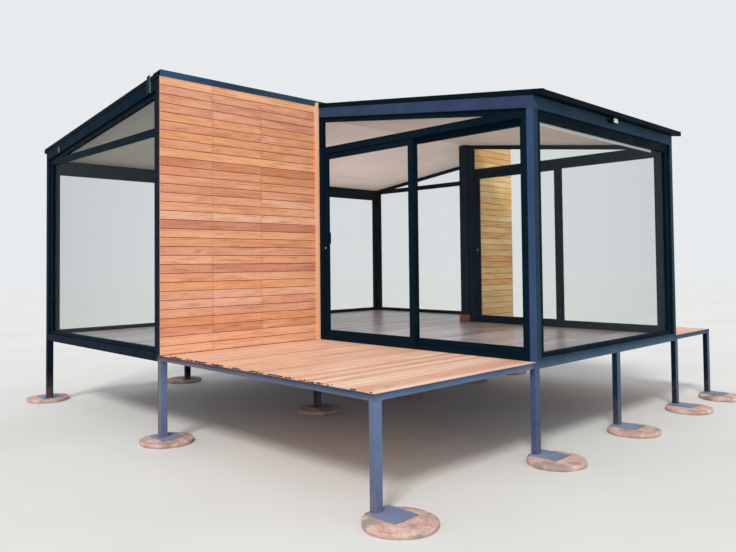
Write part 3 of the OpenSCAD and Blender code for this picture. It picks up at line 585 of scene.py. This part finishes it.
def deck_boards():
    """Boards along the ridge, with rounded edges, narrow gaps and two screws on each joist."""
    rng = random.Random(23)
    heads = bmesh.new()
    pitch = (Y_WALL - DECK_EDGE) / DECK_ROWS
    gap, edge = 0.004, 0.0025
    width = pitch - gap
    profile = [Vector((0, y, z)) for y, z in (
        (0, -DECK_T), (width, -DECK_T), (width, -edge), (width - 0.3 * edge, -0.3 * edge), (width - edge, 0),
        (edge, 0), (0.3 * edge, -0.3 * edge), (0, -edge))]
    wing, far = -X_NEAR, X_END - X_FAR
    near_joists = [X_NEAR + i * wing / 5 + JOIST_W / 2 for i in range(1, 5)]
    far_joists = [X_END - i * far / 3 + JOIST_W / 2 for i in (1, 2)]
    near_joists = [X_NEAR + 0.035, *near_joists, -0.03]
    far_joists = [X_FAR + 0.03, *far_joists, X_END - 0.035]
    for name, node, x0, x1, joists in (
            ("near_deck_boards", "front_deck", X_NEAR + DECK_EDGE, 0.0, near_joists),
            ("far_deck_boards", "back_deck", X_FAR, X_END - DECK_EDGE, far_joists)):
        bm = bmesh.new()
        layers = board_layers(bm)
        for row in range(DECK_ROWS):
            tone = min(1.0, max(0.0, rng.gauss(0.5, 0.25)))
            y = DECK_EDGE + row * pitch + gap / 2
            inset = rng.uniform(0.0, 0.0015)
            values = tone, rng.uniform(0, 60), rng.random()
            prism(bm, profile, at(x0 + inset, y, 0), Vector((x1 - x0 - inset, 0, 0)), zip(layers, values))
            for x in joists:
                for dy in (SCREW_IN, width - SCREW_IN):
                    head = at(x + rng.uniform(-0.003, 0.003), y + dy, -0.0008)
                    disc(heads, head, (0, 0, 1), SCREW_R, SCREW_H, 8)
        piece(name, bm, decking, replaces=(node,))
    piece("deck_screws", heads, dark_fixing)


# Lines of litter along the near deck's outer edge, as [from, to] across the ridge, and how many bits
LITTER = ((0.04, 0.07, 3), (0.23, 0.27, 4), (0.52, 0.56, 3), (0.60, 0.78, 16), (0.84, 0.90, 7),
          (0.98, 1.34, 34), (1.40, 1.62, 20), (1.76, 1.88, 12), (1.96, 2.26, 34), (2.36, 2.72, 46),
          (2.82, 3.04, 26))


def deck_litter():
    """Dry crumbs of bark and soil, caught along the edge of the near deck."""
    rng = random.Random(41)
    bm = bmesh.new()
    for start, end, count in LITTER:
        for _ in range(count):
            long = rng.uniform(0.006, 0.017)
            wide = rng.uniform(0.004, 0.010)
            high = rng.uniform(0.003, 0.008)
            x = X_NEAR + 0.014 + abs(rng.gauss(0, 0.016))
            y = rng.uniform(start, end)
            turn = Matrix.Rotation(rng.uniform(0, math.pi), 4, "Z")
            size = Matrix.Diagonal((long, wide, high, 1))
            place = Matrix.Translation(at(x, y, high * 0.35)) @ turn @ size
            made = bmesh.ops.create_icosphere(bm, subdivisions=1, radius=1.0, matrix=place)
            for vert in made["verts"]:
                vert.co += Vector([rng.uniform(-0.25, 0.25) * high for _ in range(3)])
    piece("deck_litter", bm, litter)


# Pads, welds and fixings

LEG_W, LEG_D = POST_W, 0.060
PLATE_W, PLATE_L = 0.250, 0.300
PLATE_TOP = -0.862
PAD_TOP = -0.870
PAD_H = 0.060
PAD_R, PAD_SHIFT = 0.300, 0.080
LEG_COLUMNS = ((X_NEAR + LEG_W / 2, 1), (0.0, 1), (1.665, 0), (X_FAR, -1), (X_END - LEG_W / 2, -1))
LEG_ROWS = ((LEG_D / 2, -1), (Y_WALL + LEG_D / 2, 0), (Y_BACK - LEG_D / 2, 1))
PLATE_SHIFT = Vector(((PLATE_W - LEG_W) / 2 - 0.040, (PLATE_L - LEG_D) / 2 - 0.010, 0))


def footing_pads():
    """Rough pads, cast by hand: level under the plate, worn and uneven round it."""
    rng = random.Random(5)
    bm = bmesh.new()
    rings, around = 9, 44
    for x, side_x in LEG_COLUMNS:
        for y, side_y in LEG_ROWS:
            plate = Vector((x + side_x * PLATE_SHIFT.x, y + side_y * PLATE_SHIFT.y, 0))
            middle = plate + Vector((0, side_y * PAD_SHIFT, 0))
            phases = [(k, rng.uniform(0, 6.28), rng.uniform(0.2, 1.0) / k) for k in (2, 3, 5, 7, 11)]
            bumps = [(rng.uniform(9, 34), rng.uniform(9, 34), rng.uniform(0, 6.28)) for _ in range(6)]

            def outline(angle):
                wobble = sum(a * math.sin(k * angle + p) for k, p, a in phases) / 1.6
                return PAD_R * (0.93 + 0.07 * max(-1, min(1, wobble)))

            def top_drop(px, py, share):
                away = max(abs(px - plate.x) - PLATE_W / 2, abs(py - plate.y) - PLATE_L / 2, 0) / 0.03
                uneven = sum(math.sin(a * px + b * py + p) for a, b, p in bumps) / 6
                return min(1, away) * (0.006 + 0.006 * uneven + 0.010 * share ** 6)

            loops = []
            for r in range(rings + 1):
                share = r / rings
                loop = []
                for i in range(around):
                    angle = 2 * math.pi * i / around
                    radius = outline(angle) * share * 0.955
                    px = middle.x + radius * math.cos(angle)
                    py = middle.y + radius * math.sin(angle)
                    loop.append(at(px, py, PAD_TOP - top_drop(px, py, share)))
                loops.append(loop)
            for height, swell in ((0.72, 0.99), (0.42, 1.0), (0.15, 0.985), (0.0, 0.96)):
                loop = []
                for i in range(around):
                    angle = 2 * math.pi * i / around
                    radius = outline(angle) * swell * (1 - 0.012 * rng.random())
                    loop.append(at(middle.x + radius * math.cos(angle), middle.y + radius * math.sin(angle),
                                   PLAN_MIDDLE.z + PAD_H * height))
                loops.append(loop)
            centre = bm.verts.new(loops[0][0])
            verts = [[bm.verts.new(p) for p in loop] for loop in loops[1:]]
            for i in range(around):
                j = (i + 1) % around
                bm.faces.new((centre, verts[0][i], verts[0][j]))
                for a, b in zip(verts, verts[1:]):
                    bm.faces.new((a[i], b[i], b[j], a[j]))
            bm.faces.new(verts[-1][::-1])
    piece("rough_footing_pads", bm, concrete, replaces=("footing_pads",), smooth=True)


def weld_bead(bm, start, end, out, up, size, rng):
    """A rippled fillet in the corner between two faces, from start to end."""
    run = end - start
    steps = max(2, int(run.length / 0.0045))
    loops = []
    for i in range(steps + 1):
        s = size * (0.86 + 0.14 * math.sin(i * 2.1) + rng.uniform(-0.08, 0.08))
        here = start + run * (i / steps)
        loops.append([bm.verts.new(p) for p in (here, here + out * s, here + out * s * 0.62 + up * s * 0.62,
                                                here + up * s)])
    for a, b in zip(loops, loops[1:]):
        for i in range(4):
            j = (i + 1) % 4
            bm.faces.new((a[i], a[j], b[j], b[i]))
    bm.faces.new(loops[0][::-1])
    bm.faces.new(loops[-1])


def leg_welds():
    """Weld beads round the foot of each leg."""
    rng = random.Random(3)
    bm = bmesh.new()
    up = Vector((0, 0, 1))
    for x, _ in LEG_COLUMNS:
        for y, _ in LEG_ROWS:
            corners = [at(x + sx * LEG_W / 2, y + sy * LEG_D / 2, PLATE_TOP)
                       for sx, sy in ((-1, -1), (1, -1), (1, 1), (-1, 1))]
            for a, b in zip(corners, corners[1:] + corners[:1]):
                out = (b - a).cross(up).normalized()
                weld_bead(bm, a, b, out, up, 0.006, rng)
    piece("leg_welds", bm, steel, smooth=True)


# Heights of the beams' tops at the eaves and at the ridge, and how far the roof reaches past the eaves
FRONT_EAVE_Z, FRONT_RIDGE_Z = 2.565, 2.978
BACK_EAVE_Z, BACK_RIDGE_Z = 2.575, 2.995
FRONT_OUT, BACK_OUT = 0.110, 0.060
FRONT_SLOPE = (FRONT_RIDGE_Z - FRONT_EAVE_Z) / Y_WALL
BACK_SLOPE = (BACK_RIDGE_Z - BACK_EAVE_Z) / (Y_BACK - Y_WALL)
SHEET_H = 0.048
PURLIN_W = 0.050
RIB_PITCH = 0.25
RIDGE_SCREWS = (2.98, 3.45)
BACK_PURLINS_START = 3.305


def screw_lines(first, last, start, end):
    """Where the rows of screws lie across the ridge: along both edges, and over three purlins."""
    step = (end - start - PURLIN_W) / 4
    return [first, *(start + i * step + PURLIN_W / 2 for i in (1, 2, 3)), last]


def roof_screws():
    """Hexagon screws with washers on the ribs of both roof panels, over each purlin."""
    bm = bmesh.new()
    front_lines = screw_lines(POST_W / 2, RIDGE_SCREWS[0], POST_W, Y_WALL)
    back_lines = screw_lines(RIDGE_SCREWS[1], Y_BACK - POST_W / 2, BACK_PURLINS_START, Y_BACK - POST_W)
    for x0, x1, lines, wall_z, slope in ((0.0, X_FAR, front_lines, FRONT_RIDGE_Z, FRONT_SLOPE),
                                         (X_NEAR, X_END, back_lines, BACK_RIDGE_Z, -BACK_SLOPE)):
        count = int((x1 - x0) / RIB_PITCH)
        normal = Vector((0, -slope, 1)).normalized()
        for i in range(count):
            x = x0 + (i + 0.5) * (x1 - x0) / count
            for y in lines:
                foot = at(x, y, wall_z + slope * (y - Y_WALL)) + normal * (SHEET_H + 0.0003)
                disc(bm, foot, normal, 0.0095, 0.0014, 12)
                disc(bm, foot + normal * 0.0012, normal, 0.0056, 0.0046, 6, i * 0.7)
    piece("roof_screws", bm, zinc)


BARGE_OUT = 0.004
CAP_T = 0.0012
CAP_LOW, CAP_HIGH, CAP_REACH = -0.0055, 0.0545, 0.050


def roof_corner_caps():
    """Folded sheet caps that close the four corners of the roof, where side and eave flashings meet."""
    bm = bmesh.new()
    front = (0.0, X_FAR, -FRONT_OUT - BARGE_OUT, FRONT_EAVE_Z, FRONT_SLOPE, 1)
    back = (X_NEAR, X_END, Y_BACK + BACK_OUT + BARGE_OUT, BACK_EAVE_Z, BACK_SLOPE, -1)
    for x0, x1, edge, eave_z, slope, inward in (front, back):
        out = abs(edge - (0 if inward > 0 else Y_BACK))
        z = eave_z - slope * out
        start, end = -CAP_T * inward, CAP_REACH * inward
        rise = slope * CAP_REACH
        profile = [Vector((0, start, CAP_LOW)), Vector((0, end, CAP_LOW + rise)),
                   Vector((0, end, CAP_HIGH + rise)), Vector((0, start, CAP_HIGH))]
        for x in (x0 - BARGE_OUT - CAP_T, x1 + BARGE_OUT):
            prism(bm, profile, at(x, edge, z), Vector((CAP_T, 0, 0)))
        for a, b in ((x0 - BARGE_OUT, x0 + 0.03), (x1 - 0.03, x1 + BARGE_OUT)):
            lip = sorted((edge + start, edge))
            box(bm, at(a, lip[0], z + CAP_LOW), at(b, lip[1], z + CAP_HIGH))
    piece("roof_corner_caps", bm, roof)


# Locks, lamp and post block

DOOR_Y1 = 3.11
RUN_GAP = 0.006
STILE_W = 0.076
LOCK_Y = DOOR_Y1 - RUN_GAP - STILE_W / 2
LOCK_Z = 1.165
LOCK_H = 0.0035
SLOT_W, SLOT_L = 0.0018, 0.009
# The faces of the lock stile, by their distance from the front of the frame and the way they look
LOCK_FACES = ((0.013, -1), (0.056, 1))
# The round and the narrow part of a cylinder, by height and radius
LOCK_ROUNDS = ((0.0, 0.0085), (-0.0095, 0.0055))


def lock_cylinders(name, body, mirrored):
    """Oval key cylinders on both faces of the sliding panel's lock stile."""
    bm = bmesh.new()
    slots = bmesh.new()
    for face, way in LOCK_FACES:
        for dz, radius in LOCK_ROUNDS:
            x = X_FAR - face if mirrored else face
            normal = (-way if mirrored else way, 0, 0)
            disc(bm, at(x, LOCK_Y, LOCK_Z + dz), normal, radius, LOCK_H, 20)
        low, high = sorted((face + way * LOCK_H, face + way * (LOCK_H + 0.0004)))
        if mirrored:
            low, high = X_FAR - high, X_FAR - low
        box(slots, at(low, LOCK_Y - SLOT_W / 2, LOCK_Z - SLOT_L / 2),
            at(high, LOCK_Y + SLOT_W / 2, LOCK_Z + SLOT_L / 2))
    piece(name, bm, lock_metal, body=body)
    piece(name + "_slots", slots, lamp_black, body=body)


def floodlight():
    """A small floodlight: finned casting, rim, white lens, and its bracket on the eave beam."""
    low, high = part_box("floodlight")
    bracket_l, fin_l, fin_t, fins, rim = 0.024, 0.016, 0.004, 9, 0.006
    body_back = high.y - bracket_l
    bm = bmesh.new()
    box(bm, (low.x, low.y + 0.004, low.z), (high.x, body_back - fin_l, high.z))
    for i in range(fins):
        x = low.x + 0.006 + (high.x - low.x - 0.012 - fin_t) * i / (fins - 1)
        box(bm, (x, body_back - fin_l - 0.001, low.z + 0.005), (x + fin_t, body_back, high.z - 0.005))
    for a, b in (((low.x, low.z), (high.x, low.z + rim)), ((low.x, high.z - rim), (high.x, high.z)),
                 ((low.x, low.z + rim), (low.x + rim, high.z - rim)),
                 ((high.x - rim, low.z + rim), (high.x, high.z - rim))):
        box(bm, (a[0], low.y, a[1]), (b[0], low.y + 0.006, b[1]))
    middle = (low.x + high.x) / 2
    z = (low.z + high.z) / 2
    box(bm, (middle - 0.014, body_back - 0.002, z - 0.011), (middle + 0.014, high.y - 0.003, z + 0.003))
    box(bm, (middle - 0.030, high.y - 0.004, z - 0.018), (middle + 0.030, high.y, z + 0.010))
    lamp = piece("floodlight_casting", bm, lamp_black, replaces=("floodlight",))
    bevel = lamp.modifiers.new("bevel", "BEVEL")
    bevel.width = 0.0012
    bevel.segments = 2
    lens = bmesh.new()
    box(lens, (low.x + rim, low.y + 0.0015, low.z + rim), (high.x - rim, low.y + 0.005, high.z - rim))
    piece("floodlight_lens", lens, lens_white)


RIDGE_POST_W = 0.130
BLOCK_T, BLOCK_LOW, BLOCK_TOP = 0.022, 0.0202, 0.125


def post_block():
    """Brown timber packing round the foot of the far ridge post, on the floor inside."""
    bm = bmesh.new()
    x1, y0, y1 = X_FAR - RIDGE_POST_W, Y_WALL, Y_WALL + BOARD_T + RIDGE_POST_W
    box(bm, at(x1 - BLOCK_T, y0 - BLOCK_T, BLOCK_LOW), at(x1 - 0.0005, y1 + 0.018, BLOCK_TOP))
    box(bm, at(x1, y0 - BLOCK_T, BLOCK_LOW), at(X_FAR - 0.115, y0 - 0.0005, BLOCK_TOP))
    block = piece("post_foot_block", bm, block_wood)
    bevel = block.modifiers.new("bevel", "BEVEL")
    bevel.width = 0.002
    bevel.segments = 2


cladding_boards()
deck_boards()
deck_litter()
footing_pads()
leg_welds()
roof_screws()
roof_corner_caps()
lock_cylinders("front_lock", "front_sliding_door", False)
lock_cylinders("back_lock", "back_sliding_door", True)
floodlight()
post_block()


# Camera, solved from the cabin's corners in the photograph. It is framed lower, to show all of the legs.

CAMERA_AT = (-5.7754, -3.6136, 0.9492)
CAMERA_TURN = (45.6038, 1.6792, -0.5976)
FOCAL_PX, WIDTH_PX = 693.50, 736
LOWER_PX = 32
SENSOR_MM = 36


def photo_camera():
    """The photograph's camera, from its yaw, pitch and roll."""
    yaw, pitch, roll = (math.radians(v) for v in CAMERA_TURN)
    ahead = Vector((math.cos(yaw) * math.cos(pitch), math.sin(yaw) * math.cos(pitch), math.sin(pitch)))
    level = Vector((math.sin(yaw), -math.cos(yaw), 0))
    above = level.cross(ahead)
    right = math.cos(roll) * level + math.sin(roll) * above
    up = -math.sin(roll) * level + math.cos(roll) * above
    data = bpy.data.cameras.new("camera")
    data.sensor_fit = "HORIZONTAL"
    data.sensor_width = SENSOR_MM
    data.lens = FOCAL_PX * SENSOR_MM / WIDTH_PX
    data.clip_end = 200
    data.shift_y = -LOWER_PX / WIDTH_PX
    camera = bpy.data.objects.new("camera", data)
    bpy.context.scene.collection.objects.link(camera)
    rotation = Matrix((right, up, -ahead)).transposed().to_4x4()
    camera.matrix_world = Matrix.Translation(at(*CAMERA_AT)) @ rotation
    bpy.context.scene.camera = camera


photo_camera()


# Studio

SUN_WAY = (0.72, 0.44, -0.82)
# Each room's plan, and the power of its light by the square metre
ROOMS = ((0.2, X_FAR - 0.2, 0.2, Y_WALL - 0.1, 3.2),
         (0.2, X_END - 0.2, Y_WALL + 0.2, Y_BACK - 0.2, 2.8))


def room_fill(x0, x1, y0, y1, power):
    """Soft light from the floor of a room up to its ceiling, unseen itself."""
    data = bpy.data.lights.new("room_fill", "AREA")
    data.shape = "RECTANGLE"
    data.size, data.size_y = x1 - x0, y1 - y0
    data.energy = power * data.size * data.size_y
    data.color = (1.0, 0.97, 0.94)
    lamp = bpy.data.objects.new("room_fill", data)
    bpy.context.scene.collection.objects.link(lamp)
    lamp.location = at((x0 + x1) / 2, (y0 + y1) / 2, 0.03)
    lamp.rotation_euler = (math.pi, 0, 0)
    lamp.visible_camera = False
    lamp.visible_glossy = False
    lamp.visible_transmission = False


def studio_floor():
    """A plain pale floor."""
    bm = bmesh.new()
    bmesh.ops.create_grid(bm, x_segments=1, y_segments=1, size=60)
    mesh = bpy.data.meshes.new("studio_floor")
    bm.to_mesh(mesh)
    bm.free()
    floor = bpy.data.objects.new("studio_floor", mesh)
    bpy.context.scene.collection.objects.link(floor)
    s = Shader("studio_floor", Roughness=0.9)
    tone = s.noise(s.place(), 0.6, 3)
    s.set("Base Color", s.ramp(tone, (0.3, srgb(214, 214, 212)), (0.7, srgb(220, 220, 218))))
    mesh.materials.append(s.mat)


def studio_world():
    """The sky's even light, and a pale backdrop for what the camera, metal and glass see of it."""
    world = bpy.data.worlds.new("studio")
    bpy.context.scene.world = world
    world.use_nodes = True
    tree = world.node_tree
    tree.nodes.clear()
    path = tree.nodes.new("ShaderNodeLightPath")
    seen = path.outputs["Is Camera Ray"]
    for name in ("Is Glossy Ray", "Is Transmission Ray"):
        either = tree.nodes.new("ShaderNodeMath")
        either.operation = "MAXIMUM"
        tree.links.new(seen, either.inputs[0])
        tree.links.new(path.outputs[name], either.inputs[1])
        seen = either.outputs[0]
    light = tree.nodes.new("ShaderNodeBackground")
    light.inputs[0].default_value = (0.93, 0.97, 1.0, 1)
    light.inputs[1].default_value = 0.72
    shown = tree.nodes.new("ShaderNodeBackground")
    shown.inputs[0].default_value = srgb(232, 235, 237)
    shown.inputs[1].default_value = 1.0
    mix = tree.nodes.new("ShaderNodeMixShader")
    out = tree.nodes.new("ShaderNodeOutputWorld")
    tree.links.new(seen, mix.inputs[0])
    tree.links.new(light.outputs[0], mix.inputs[1])
    tree.links.new(shown.outputs[0], mix.inputs[2])
    tree.links.new(mix.outputs[0], out.inputs[0])


def key_lamp():
    """One soft sun, from behind the camera."""
    data = bpy.data.lights.new("key", "SUN")
    data.energy = 2.2
    data.angle = math.radians(14)
    data.color = (1.0, 0.965, 0.92)
    key = bpy.data.objects.new("key", data)
    bpy.context.scene.collection.objects.link(key)
    key.rotation_mode = "QUATERNION"
    key.rotation_quaternion = Vector(SUN_WAY).to_track_quat("-Z", "Y")


studio_floor()
studio_world()
key_lamp()
for room in ROOMS:
    room_fill(*room)
bpy.context.scene.view_settings.view_transform = "Standard"
bpy.context.scene.cycles.transparent_max_bounces = 32
